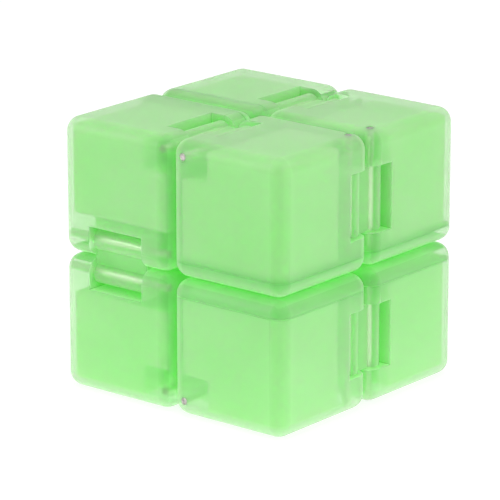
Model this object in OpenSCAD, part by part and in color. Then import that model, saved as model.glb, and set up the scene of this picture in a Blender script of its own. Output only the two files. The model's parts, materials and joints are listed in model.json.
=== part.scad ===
// Folding fidget cube: eight hollow blocks joined in a closed ring by eight two-pin hinges.
// Front is -Y, +X is to the right, +Z is up. The origin is the centre of the underside.

/* [Blocks] */
// Side of the closed cube
cube_side = 40; // [38:0.5:44]
// Space left between neighbouring blocks
block_gap = 0.3; // [0.2:0.05:0.4]
// Radius on every edge of a block
edge_round = 2.2; // [2.1:0.05:2.25]
// Thickness of a block's walls
wall = 1.2; // [1:0.1:1.5]
// Thickness of the cover at its edge, down to the seam
cover_depth = 2.4; // [2.3:0.1:2.8]
// How far the cover's rim reaches into the shell
rim_depth = 1.5; // [1:0.1:2]
// Thickness of the cover's rim
rim_wall = 0.9; // [0.8:0.1:1.2]

/* [Hinges] */
// Distance of each pin from the two faces that it is nearest to
pin_inset = 2.3; // [2.25:0.05:2.4]
// Diameter of a hinge pin
pin_diameter = 1.2; // [1:0.1:1.3]
// How far a pin's end stands back from the face that it goes in through
pin_end_sink = 0.1; // [0:0.05:0.3]
// Length of a link along its pins
link_length = 9.4; // [8:0.1:10]
// Diameter of a link's two barrels
barrel_diameter = 3.2; // [2.8:0.1:3.4]
// Thickness of the web between a link's barrels
web_thickness = 1.8; // [1.4:0.1:2.2]
// Size of the pocket that a link lies in, from the block's faces
pocket_size = 4.5; // [4.3:0.1:4.8]
// Width of the slot that lets a pin out of the one open link
release_slot = 1.6; // [1.5:0.1:1.8]
// Lean of that slot towards the inside of the cube, in degrees
release_lean = 10; // [8:1:12]

/* [Clearances] */
// Radial clearance of a pin in a link
pin_running_gap = 0.05; // [0.03:0.01:0.1]
// Space at each end of a link
link_end_gap = 0.15; // [0.1:0.05:0.3]
// Space around the cover's rim
rim_gap = 0.1; // [0.05:0.05:0.15]

/* [Hidden] */
$fn = 48;
overshoot = 1;
block_side = (cube_side - block_gap) / 2;
half = block_side / 2;
pitch = block_side + block_gap;
pin_place = half - pin_inset;
pin_radius = pin_diameter / 2;
link_bore_radius = pin_radius + pin_running_gap;
// Two pins of one hinge are this far apart, closed or open
pin_spacing = 2 * pin_inset + block_gap;
pocket_length = link_length + 2 * link_end_gap;
pocket_edge = half - pocket_size;
// A solid bar along each hinge edge holds the knuckles and walls off the pocket
bar_edge = pocket_edge - wall;
cavity_half = half - wall;
seam = half - cover_depth;
// A pin's inner end stops this far short of the next face or of the cover
blind_wall = 1.6;
seam_relief = 0.1;
// Slope of a cube's long diagonal
corner_tilt = asin(1 / sqrt(3));

shell_colour = [0.56, 0.88, 0.50, 0.6];
cover_colour = [0.62, 0.90, 0.55, 0.6];
link_colour = [0.50, 0.86, 0.44, 0.7];
steel_colour = [0.80, 0.80, 0.78];

// Each block: its name, and its place to the right, to the back and upwards (-1 or +1)
BLOCKS = [
    ["upper_left_front", [-1, -1, 1]],
    ["upper_right_front", [1, -1, 1]],
    ["upper_right_back", [1, 1, 1]],
    ["upper_left_back", [-1, 1, 1]],
    ["lower_left_back", [-1, 1, -1]],
    ["lower_right_back", [1, 1, -1]],
    ["lower_right_front", [1, -1, -1]],
    ["lower_left_front", [-1, -1, -1]],
];

// Each hinge: its name, its place, and the face of the cube that its link lies in
HINGES = [
    ["top_front", [0, -1, 1], "top"],
    ["top_back", [0, 1, 1], "top"],
    ["bottom_front", [0, -1, -1], "bottom"],
    ["bottom_back", [0, 1, -1], "bottom"],
    ["right_upper", [1, 0, 1], "right"],
    ["right_lower", [1, 0, -1], "right"],
    ["front_left", [-1, -1, 0], "front"],
    ["back_left", [-1, 1, 0], "back"],
];
// The ring of blocks is opened at this hinge, where the link's lower barrel has the slot
open_hinge = "back_left";

// A cube with every edge and corner round, centred on the origin. Each corner sphere is
// turned so that its poles and seam are inside the block, clear of the pin holes.
module rounded_block(side, radius) {
    core = side - 2 * radius;
    cube([side, core, core], center = true);
    cube([core, side, core], center = true);
    cube([core, core, side], center = true);
    for (turn = [[0, 0, 0], [90, 0, 0], [0, 90, 0]])
        rotate(turn)
            for (i = [-1, 1])
                for (j = [-1, 1])
                    translate([i * core / 2, j * core / 2, 0])
                        cylinder(h = core, r = radius, center = true);
    for (i = [-1, 1])
        for (j = [-1, 1])
            for (k = [-1, 1])
                translate([i * core / 2, j * core / 2, k * core / 2])
                    rotate([0, k * corner_tilt, atan2(j, i) + 180])
                        sphere(r = radius);
}

// A block is drawn about its own centre. Its long hinge runs along Y on the +X, +Z edge,
// its cross hinge runs along X on the -Y, -Z edge, and its cover closes the +Y side.
module along_long_hinge() {
    rotate([90, 0, 0])
        children();
}

module along_cross_hinge() {
    rotate([0, 90, 0])
        children();
}

// The space inside, or with an inset a smaller copy of it, from one Y to another
module cavity(inset, from_y, to_y) {
    reach = cavity_half - inset;
    difference() {
        translate([-reach, from_y, -reach])
            cube([2 * reach, to_y - from_y, 2 * reach]);
        translate([bar_edge - inset, -half - overshoot, bar_edge - inset])
            cube([pocket_size * 2, block_side + 2 * overshoot, pocket_size * 2]);
        translate([-half - overshoot, -half - overshoot, -half - overshoot])
            cube([
                block_side + 2 * overshoot,
                half + overshoot - bar_edge,
                half + overshoot - bar_edge,
            ]);
    }
}

// Pockets that take one half of each link
module link_pockets() {
    deep = pocket_size + overshoot;
    translate([pocket_edge, -pocket_length / 2, pocket_edge])
        cube([deep, pocket_length, deep]);
    translate([-pocket_length / 2, -half - overshoot, -half - overshoot])
        cube([pocket_length, deep, deep]);
}

// The long pin goes in through the -Y face on the right-hand blocks, and from under the
// cover on the left-hand ones. The cross pin goes in through the -X face on all of them.
module long_pin_rod(radius, right_hand, slack) {
    start = right_hand ? -half + pin_end_sink - slack : -half + blind_wall;
    end = seam - seam_relief + min(slack, seam_relief);
    translate([pin_place, end, pin_place])
        along_long_hinge()
            cylinder(h = end - start, r = radius);
}

module cross_pin_rod(radius, slack) {
    start = -half + pin_end_sink - slack;
    translate([start, -pin_place, -pin_place])
        along_cross_hinge()
            cylinder(h = half - blind_wall - start, r = radius);
}

// One block's shell: a hollow box, open towards +Y, with a knuckle at each end of each pocket
module shell(right_hand) {
    color(shell_colour)
        difference() {
            rounded_block(block_side, edge_round);
            translate([-half - overshoot, seam, -half - overshoot])
                cube([
                    block_side + 2 * overshoot,
                    cover_depth + overshoot,
                    block_side + 2 * overshoot,
                ]);
            cavity(0, -cavity_half, half);
            link_pockets();
            long_pin_rod(pin_radius, right_hand, overshoot);
            cross_pin_rod(pin_radius, overshoot);
        }
}

// The cover that closes a block, with a rim that fits inside the shell
module cover() {
    color(cover_colour) {
        difference() {
            intersection() {
                rounded_block(block_side, edge_round);
                translate([-half, seam, -half])
                    cube([block_side, cover_depth, block_side]);
            }
            cavity(rim_gap + rim_wall, seam - overshoot, cavity_half);
        }
        difference() {
            cavity(rim_gap, seam - rim_depth, seam);
            cavity(rim_gap + rim_wall, seam - rim_depth - overshoot, seam + overshoot);
        }
    }
}

module long_pin(right_hand) {
    color(steel_colour)
        long_pin_rod(pin_radius, right_hand, 0);
}

module cross_pin() {
    color(steel_colour)
        cross_pin_rod(pin_radius, 0);
}

// A link lying flat with its pins along Y: two barrels joined by a web
module link(slotted) {
    bore_length = link_length + 2 * overshoot;
    color(link_colour)
        rotate([90, 0, 0])
            difference() {
                union() {
                    for (side = [-1, 1])
                        translate([side * pin_spacing / 2, 0, 0])
                            cylinder(h = link_length, d = barrel_diameter, center = true);
                    cube([pin_spacing, web_thickness, link_length], center = true);
                }
                for (side = [-1, 1])
                    translate([side * pin_spacing / 2, 0, 0])
                        cylinder(h = bore_length, r = link_bore_radius, center = true);
                if (slotted)
                    translate([pin_spacing / 2, 0, 0])
                        rotate([0, 0, -release_lean])
                            translate([0, -release_slot / 2, -bore_length / 2])
                                cube([barrel_diameter, release_slot, bore_length]);
            }
}

// Puts a block where it belongs. Left-hand blocks start as drawn, right-hand ones are
// drawn with the long hinge upright, and the back and lower ones are mirror images.
module in_block_place(place) {
    right_hand = place[0] > 0;
    translate([place[0] * pitch / 2, place[1] * pitch / 2, cube_side / 2 + place[2] * pitch / 2])
        mirror([0, place[1] > 0 ? 1 : 0, 0])
            mirror([0, 0, place[2] < 0 ? 1 : 0])
                mirror(right_hand ? [1, -1, 0] : [0, 0, 0])
                    rotate([right_hand ? -90 : 0, 0, 0])
                        children();
}

// Puts a link on its face of the closed cube, at the depth of its pins
module in_hinge_place(place, face) {
    deep = cube_side / 2 - pin_inset;
    across = pitch / 2;
    flat = face == "top" || face == "bottom";
    upright = face == "right";
    spot = flat
        ? [0, place[1] * across, place[2] * deep]
        : upright ? [deep, 0, place[2] * across] : [place[0] * across, place[1] * deep, 0];
    turn = flat ? [0, 0, 0] : upright ? [90, 0, 90] : [0, 90, 90];
    translate(spot + [0, 0, cube_side / 2])
        rotate(turn)
            children();
}

for (b = BLOCKS) {
    right_hand = b[1][0] > 0;
    in_block_place(b[1]) shell(right_hand);
    in_block_place(b[1]) cover();
    in_block_place(b[1]) long_pin(right_hand);
    in_block_place(b[1]) cross_pin();
}
for (h = HINGES) {
    slotted = h[0] == open_hinge;
    in_hinge_place(h[1], h[2]) link(slotted);
}
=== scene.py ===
import json
import math

import bmesh
import bpy
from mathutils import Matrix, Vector

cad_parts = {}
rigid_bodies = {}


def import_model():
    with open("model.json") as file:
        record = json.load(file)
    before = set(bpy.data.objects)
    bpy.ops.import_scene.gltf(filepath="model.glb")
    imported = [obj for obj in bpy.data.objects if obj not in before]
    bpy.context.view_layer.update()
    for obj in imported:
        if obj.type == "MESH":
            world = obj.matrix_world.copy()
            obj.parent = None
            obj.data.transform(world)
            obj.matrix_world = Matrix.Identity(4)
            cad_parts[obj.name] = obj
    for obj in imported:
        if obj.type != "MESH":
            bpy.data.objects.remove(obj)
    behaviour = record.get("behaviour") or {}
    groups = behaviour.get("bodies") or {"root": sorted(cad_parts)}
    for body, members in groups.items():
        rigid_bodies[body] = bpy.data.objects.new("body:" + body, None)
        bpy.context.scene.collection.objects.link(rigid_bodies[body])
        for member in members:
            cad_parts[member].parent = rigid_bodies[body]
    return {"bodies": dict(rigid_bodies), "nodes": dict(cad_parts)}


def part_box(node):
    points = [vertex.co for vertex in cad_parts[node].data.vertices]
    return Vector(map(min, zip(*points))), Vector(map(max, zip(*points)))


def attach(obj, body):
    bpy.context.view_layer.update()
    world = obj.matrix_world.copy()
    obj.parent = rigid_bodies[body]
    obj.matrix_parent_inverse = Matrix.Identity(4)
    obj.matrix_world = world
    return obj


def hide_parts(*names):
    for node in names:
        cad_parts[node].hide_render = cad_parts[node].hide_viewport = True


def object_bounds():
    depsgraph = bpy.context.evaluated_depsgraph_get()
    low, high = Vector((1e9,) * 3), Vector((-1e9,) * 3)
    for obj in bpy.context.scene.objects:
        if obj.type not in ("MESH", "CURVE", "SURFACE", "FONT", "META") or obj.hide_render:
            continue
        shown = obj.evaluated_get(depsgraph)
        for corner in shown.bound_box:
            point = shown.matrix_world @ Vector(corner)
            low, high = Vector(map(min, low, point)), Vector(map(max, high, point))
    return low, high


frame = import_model()
cad_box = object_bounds()
nodes = frame["nodes"]

# ---------------------------------------------------------------------------
# Block shells. Each of the eight hollow blocks is an injection-moulded box of
# translucent green plastic with a fine matt mould texture. It carries the two
# knuckles of each of its hinges, and one side is left open for the cover.
# ---------------------------------------------------------------------------


class Shade:
    """One socket of a material's node tree, which can be used in sums."""

    def __init__(self, tree, socket):
        self.tree = tree
        self.socket = socket

    def node(self, kind, settings=None, inputs=None, output=0):
        """Any node: its type, then its settings, then the values or links of its sockets."""
        made = self.tree.nodes.new(kind)
        for name, value in (settings or {}).items():
            setattr(made, name, value)
        for name, value in (inputs or {}).items():
            if isinstance(value, Shade):
                self.tree.links.new(value.socket, made.inputs[name])
            else:
                made.inputs[name].default_value = value
        return Shade(self.tree, made.outputs[output])

    def maths(self, operation, first, second):
        return self.node("ShaderNodeMath", {"operation": operation}, {0: first, 1: second})

    def __add__(self, other):
        return self.maths("ADD", self, other)

    def __radd__(self, other):
        return self.maths("ADD", other, self)

    def __sub__(self, other):
        return self.maths("SUBTRACT", self, other)

    def __rsub__(self, other):
        return self.maths("SUBTRACT", other, self)

    def __mul__(self, other):
        return self.maths("MULTIPLY", self, other)

    def __rmul__(self, other):
        return self.maths("MULTIPLY", other, self)

    def blend(self, dark, light):
        """The colour between dark and light that this value stands for."""
        return self.node(
            "ShaderNodeMix", {"data_type": "RGBA"}, {0: self, 6: dark, 7: light}, output=2
        )

    def noise(self, scale, detail, stretch=(1, 1, 1)):
        """Soft noise over the solid, with scale features to the metre."""
        place = self.node("ShaderNodeTexCoord", output=3)
        place = self.node("ShaderNodeMapping", {}, {0: place, 3: stretch})
        return self.node(
            "ShaderNodeTexNoise", {}, {"Vector": place, "Scale": scale, "Detail": detail}
        )

    def stretched(self, low, high):
        """This value's middle part from low to high, spread over 0 to 1."""
        return self.node("ShaderNodeMapRange", {}, {0: self, 1: low, 2: high})

    def bump(self, height, distance, strength):
        """A normal for a surface whose marks are distance deep in metres."""
        return self.node(
            "ShaderNodeBump", {}, {"Height": height, "Distance": distance, "Strength": strength}
        )


def new_material(name):
    """A material, its Principled shader and a Shade to write its maths with."""
    material = bpy.data.materials.new(name)
    material.use_nodes = True
    tree = material.node_tree
    shader = tree.nodes["Principled BSDF"]
    return material, shader, Shade(tree, None)


def feed(shader, name, value):
    """Sets a socket of the shader, or links a Shade to it."""
    if isinstance(value, Shade):
        value.tree.links.new(value.socket, shader.inputs[name])
    else:
        shader.inputs[name].default_value = value


def frosted_plastic(name, pale, deep, sheer, glow, depth_tint, cloud_size):
    """Translucent moulded plastic: part milky, part sheer, and greener where it is thick.
    The slight glow is painted light: a green emission that stands for light the plastic carries
    along inside its walls."""
    grain_scale = 6500.0
    grain_depth = 0.00001
    scuff_scale = 900.0
    scuff_length = 0.15
    smooth = 0.28
    rougher = 0.08
    sheer_facing = 1.1
    sheer_lost_aslant = 0.8
    material, shader, sh = new_material(name)
    tree = material.node_tree
    clouds = sh.noise(1 / cloud_size, detail=3.0).stretched(0.35, 0.65)
    grain = sh.noise(grain_scale, detail=2.0)
    scuffs = sh.noise(scuff_scale, detail=4.0, stretch=(1, scuff_length, 1)).stretched(0.55, 0.75)
    feed(shader, "Base Color", clouds.blend(deep, pale))
    feed(shader, "Roughness", smooth + rougher * clouds + rougher * scuffs)
    feed(shader, "Normal", sh.bump(grain, grain_depth, 0.2))
    feed(shader, "IOR", 1.46)
    feed(shader, "Subsurface Weight", 1.0)
    feed(shader, "Subsurface Radius", (0.5, 1.0, 0.45))
    feed(shader, "Subsurface Scale", 0.006)
    feed(shader, "Coat Weight", 0.4)
    feed(shader, "Coat Roughness", 0.12)
    # Painted light: a faint green glow that stands for light carried inside the walls
    feed(shader, "Emission Color", (0.22, 1.0, 0.16, 1))
    feed(shader, "Emission Strength", glow)
    milky = Shade(tree, shader.outputs[0])
    clear = sh.node("ShaderNodeBsdfTransparent", {}, {"Color": (0.97, 1.0, 0.96, 1)})
    slant = sh.node("ShaderNodeLayerWeight", {}, {"Blend": 0.5}, output=1)
    passed = sheer * (sheer_facing - sheer_lost_aslant * slant)
    both = sh.node("ShaderNodeMixShader", {}, {0: passed, 1: milky, 2: clear})
    inside = sh.node(
        "ShaderNodeVolumeAbsorption", {}, {"Color": (0.42, 0.92, 0.37, 1), "Density": depth_tint}
    )
    output = tree.nodes["Material Output"]
    tree.links.new(both.socket, output.inputs["Surface"])
    tree.links.new(inside.socket, output.inputs["Volume"])
    return material


# How far a block's inner faces are from its middle at most, and where its solid bars start
inner_reach = 0.0088
bar_start = 0.0043
# Faces that meet at more than this angle have an edge between them
crease = math.radians(35)
cube_middle = (Vector(cad_box[0]) + Vector(cad_box[1])) / 2


def painted_light_zone_at(place, inward):
    """Which material a block's face gets at a place from its middle, where inward points to the
    cube's middle:
    0 the plain plastic outside, 1 the darker copy with painted shade in the hollow, 2 the paler
    copy with painted light in the pockets and next to the other blocks."""
    away = sorted(abs(part) for part in place)
    if away[2] < inner_reach:
        return 1 if away[1] < bar_start else 2
    farthest = max(range(3), key=lambda axis: abs(place[axis]))
    return 2 if place[farthest] * inward[farthest] > 0 else 0


def moulded_copy(node, name, soft_width, shortest, zone_materials, middle=None):
    """A copy of a CAD node whose sharp edges, where longer than shortest, are slightly round, as
    a mould leaves them.
    With a block's middle, each face gets one of three materials: the plain plastic outside, a
    darker copy with painted shade in the hollow, or a paler, glowing copy with painted light in
    the pockets."""
    same_point = 1e-7
    flat = math.radians(0.5)
    solid = bmesh.new()
    solid.from_mesh(nodes[node].data)
    bmesh.ops.remove_doubles(solid, verts=solid.verts, dist=same_point)
    bmesh.ops.dissolve_limit(solid, angle_limit=flat, verts=solid.verts, edges=solid.edges)
    sharp = [
        edge
        for edge in solid.edges
        if edge.calc_face_angle(0) > crease and edge.calc_length() > shortest
    ]
    bmesh.ops.bevel(
        solid, geom=sharp, offset=soft_width, segments=2, profile=0.5, affect="EDGES"
    )
    mesh = bpy.data.meshes.new(name)
    solid.to_mesh(mesh)
    solid.free()
    mesh.shade_smooth()
    mesh.set_sharp_from_angle(angle=crease)
    for zone_material in zone_materials:
        mesh.materials.append(zone_material)
    # Outer faces keep the plain plastic, hollow faces get painted shade and pocket faces painted
    # light
    if middle:
        for face in mesh.polygons:
            face.material_index = painted_light_zone_at(face.center - middle, cube_middle - middle)
    piece = bpy.data.objects.new(name, mesh)
    bpy.context.collection.objects.link(piece)
    even = piece.modifiers.new("even_faces", "WEIGHTED_NORMAL")
    even.keep_sharp = True
    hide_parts(node)
    return piece


def block_middle(block):
    """The middle of a block, from its shell and its cover together."""
    corners = (*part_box(block + "_shell"), *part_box(block + "_cover"))
    low = Vector([min(corner[axis] for corner in corners) for axis in range(3)])
    high = Vector([max(corner[axis] for corner in corners) for axis in range(3)])
    return (low + high) / 2


blocks = [body[: -len("_block")] for body in frame["bodies"] if body.endswith("_block")]

green_pale = (0.63, 0.95, 0.54, 1)
green_deep = (0.57, 0.93, 0.48, 1)
wall_sheer = 0.72
# Strength of the painted glow in the plastic parts
wall_glow = 0.07
depth_tint = 90.0
block_cloud = 0.016
shell_plastic = frosted_plastic(
    "frosted_green_shell", green_pale, green_deep, wall_sheer, wall_glow, depth_tint, block_cloud
)
# Painted shade: a darker, greener and less sheer copy of the same plastic for the faces of each
# block's hollow, so that the hollow shows darker through the walls
hollow_painted_shade_plastic = frosted_plastic(
    "frosted_green_hollow_painted_shade",
    pale=(0.56, 0.95, 0.44, 1),
    deep=(0.50, 0.93, 0.38, 1),
    sheer=0.45,
    glow=wall_glow,
    depth_tint=depth_tint,
    cloud_size=block_cloud,
)
# Painted light: a paler copy of the plastic with a stronger glow, for the faces in the pockets
# and between the blocks, to lift the shade that falls in these recesses
pocket_painted_light_plastic = frosted_plastic(
    "frosted_green_pocket_painted_light",
    pale=(0.68, 0.97, 0.60, 1),
    deep=(0.62, 0.95, 0.54, 1),
    sheer=wall_sheer,
    glow=0.16,
    depth_tint=depth_tint,
    cloud_size=block_cloud,
)
shell_soft_width = 0.00012
shell_shortest_edge = 0.001
for block in blocks:
    shell = moulded_copy(
        block + "_shell",
        block + "_moulded_shell",
        shell_soft_width,
        shell_shortest_edge,
        (shell_plastic, hollow_painted_shade_plastic, pocket_painted_light_plastic),
        block_middle(block),
    )
    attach(shell, block + "_block")

# ---------------------------------------------------------------------------
# Block covers. A cover is a moulded lid of the same plastic with a rim that
# drops inside the shell. It is glued on after the pins are in, and its edge
# is as round as the shell's, so only a hairline seam shows.
# ---------------------------------------------------------------------------

cover_plastic = frosted_plastic(
    "frosted_green_cover", green_pale, green_deep, wall_sheer, wall_glow, depth_tint, block_cloud
)
cover_soft_width = 0.00008
for block in blocks:
    cover = moulded_copy(
        block + "_cover",
        block + "_moulded_cover",
        cover_soft_width,
        0,
        (cover_plastic, hollow_painted_shade_plastic, pocket_painted_light_plastic),
        block_middle(block),
    )
    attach(cover, block + "_block")

# ---------------------------------------------------------------------------
# Hinge pins. Each is a cut length of bright drawn steel wire, pressed through
# a block's two knuckles, with its cut end just below the plastic.
# ---------------------------------------------------------------------------


def pin_metal(name, dark, light, roughness, streak):
    """Bare steel with fine scratches, drawn out along Z when streak is under 1."""
    scratch_scale = 2600.0
    scratch_depth = 0.00002
    rougher = 0.15
    material, shader, sh = new_material(name)
    scratches = sh.noise(scratch_scale, detail=4.0, stretch=(1, 1, streak)).stretched(0.3, 0.7)
    feed(shader, "Base Color", scratches.blend(dark, light))
    feed(shader, "Metallic", 1.0)
    feed(shader, "Roughness", roughness + rougher * scratches)
    feed(shader, "Normal", sh.bump(scratches, scratch_depth, 0.4))
    return material


drawn_steel = pin_metal(
    "drawn_steel",
    dark=(0.86, 0.83, 0.78, 1),
    light=(0.97, 0.95, 0.91, 1),
    roughness=0.34,
    streak=0.1,
)
cut_steel = pin_metal(
    "cut_steel",
    dark=(0.30, 0.27, 0.26, 1),
    light=(0.85, 0.80, 0.78, 1),
    roughness=0.42,
    streak=1.0,
)
# Facets round a pin, its chamfer, and the centre mark that tapers in at each end
around = 32
pin_chamfer = 0.00014
mark_radius = 0.00022
mark_depth = 0.00012
mark_taper = 0.3


def turned_pin(node, name):
    """A pin on its CAD node's axis, with chamfered ends and a centre mark in each."""
    low, high = (Vector(corner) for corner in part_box(node))
    size = high - low
    along = max(range(3), key=lambda axis: size[axis])
    length = size[along]
    radius = min(size) / 2
    one_end = [
        (mark_depth, mark_radius * mark_taper),
        (0, mark_radius),
        (0, radius - pin_chamfer),
        (pin_chamfer, radius),
    ]
    rings = one_end + [(length - far, wide) for far, wide in reversed(one_end)]
    side, other = ((along + 1) % 3, (along + 2) % 3)
    middle = (low + high) / 2
    points = []
    for far, wide in rings:
        for step in range(around):
            turn = 2 * math.pi * step / around
            point = middle.copy()
            point[along] = low[along] + far
            point[side] += wide * math.cos(turn)
            point[other] += wide * math.sin(turn)
            points.append(point)
    faces = [tuple(reversed(range(around)))]
    for ring in range(len(rings) - 1):
        start = ring * around
        for step in range(around):
            after = (step + 1) % around
            faces.append(
                (start + step, start + after, start + around + after, start + around + step)
            )
    last = (len(rings) - 1) * around
    faces.append(tuple(range(last, last + around)))
    mesh = bpy.data.meshes.new(name)
    mesh.from_pydata(points, [], faces)
    mesh.materials.append(drawn_steel)
    mesh.materials.append(cut_steel)
    # Face 0 closes the low end, and the barrel is the band after the low end's rings
    barrel_start = 1 + (len(one_end) - 1) * around
    barrel = range(barrel_start, barrel_start + around)
    for face in mesh.polygons:
        face.material_index = 0 if face.index in barrel else 1
    mesh.shade_smooth()
    mesh.set_sharp_from_angle(angle=crease)
    piece = bpy.data.objects.new(name, mesh)
    bpy.context.collection.objects.link(piece)
    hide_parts(node)
    return piece


for block in blocks:
    for hinge in ("long", "cross"):
        pin = turned_pin(f"{block}_{hinge}_pin", f"{block}_turned_{hinge}_pin")
        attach(pin, block + "_block")

# ---------------------------------------------------------------------------
# Links. Each hinge has one short moulded link with two barrels and a web
# between them. A barrel turns freely on each pin.
# ---------------------------------------------------------------------------

link_plastic = frosted_plastic(
    "frosted_green_link",
    green_pale,
    green_deep,
    sheer=0.78,
    glow=wall_glow,
    depth_tint=depth_tint,
    cloud_size=0.008,
)
links = [body for body in frame["bodies"] if body.endswith("_link")]
link_soft_width = 0.00009
for body in links:
    link = moulded_copy(body, "moulded_" + body, link_soft_width, 0, (link_plastic,))
    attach(link, body)

# ---------------------------------------------------------------------------
# Studio. A plain white table under a white tent, lit softly from above, from
# the left and from the right, and a long lens on the cube's front edge.
# ---------------------------------------------------------------------------

table_size = 2.0
# The table is just clear of the cube's underside, so that the two don't lie in one plane
table_drop = 0.0002
table_mesh = bpy.data.meshes.new("table")
reach = table_size / 2
table_mesh.from_pydata(
    [(-reach, -reach, 0), (reach, -reach, 0), (reach, reach, 0), (-reach, reach, 0)],
    [],
    [(0, 1, 2, 3)],
)
table = bpy.data.objects.new("table", table_mesh)
bpy.context.collection.objects.link(table)
table.location.z = -table_drop
table_white, table_shader, _ = new_material("table_white")
feed(table_shader, "Base Color", (0.3, 0.3, 0.3, 1))
feed(table_shader, "Roughness", 0.9)
feed(table_shader, "Emission Color", (1, 1, 1, 1))
feed(table_shader, "Emission Strength", 0.8)
table_mesh.materials.append(table_white)

tent = bpy.data.worlds.new("tent")
tent.use_nodes = True
tent_light = tent.node_tree.nodes["Background"]
feed(tent_light, "Color", (1, 1, 1, 1))
feed(tent_light, "Strength", 0.5)
bpy.context.scene.world = tent


def soft_box(name, place, size, power):
    """A round lamp behind a diffuser, aimed at the cube."""
    light = bpy.data.lights.new(name, "AREA")
    light.shape = "DISK"
    light.size = size
    light.energy = power
    lamp = bpy.data.objects.new(name, light)
    lamp.location = place
    aim = cube_middle - Vector(place)
    lamp.rotation_euler = aim.to_track_quat("-Z", "Y").to_euler()
    bpy.context.collection.objects.link(lamp)


soft_box("top_light", (0.05, -0.05, 0.45), size=0.35, power=0.65)
soft_box("left_light", (-0.30, -0.35, 0.20), size=0.30, power=0.56)
soft_box("right_light", (0.45, -0.15, 0.22), size=0.30, power=0.56)

camera_turn = math.radians(39.1)
camera_rise = math.radians(16.43)
camera_distance = 0.5218
camera_data = bpy.data.cameras.new("camera")
camera_data.sensor_width = 36
camera_data.lens = 262.2
camera_data.shift_x = -0.02
camera_data.shift_y = -0.008
camera = bpy.data.objects.new("camera", camera_data)
toward_camera = Vector(
    (
        math.sin(camera_turn) * math.cos(camera_rise),
        -math.cos(camera_turn) * math.cos(camera_rise),
        math.sin(camera_rise),
    )
)
camera.location = cube_middle + camera_distance * toward_camera
camera.rotation_euler = (-toward_camera).to_track_quat("-Z", "Y").to_euler()
bpy.context.collection.objects.link(camera)
bpy.context.scene.camera = camera

scene = bpy.context.scene
scene.view_settings.view_transform = "Standard"
scene.cycles.max_bounces = 32
scene.cycles.diffuse_bounces = 32
scene.cycles.glossy_bounces = 32
scene.cycles.transmission_bounces = 32
scene.cycles.transparent_max_bounces = 64
scene.cycles.use_denoising = True
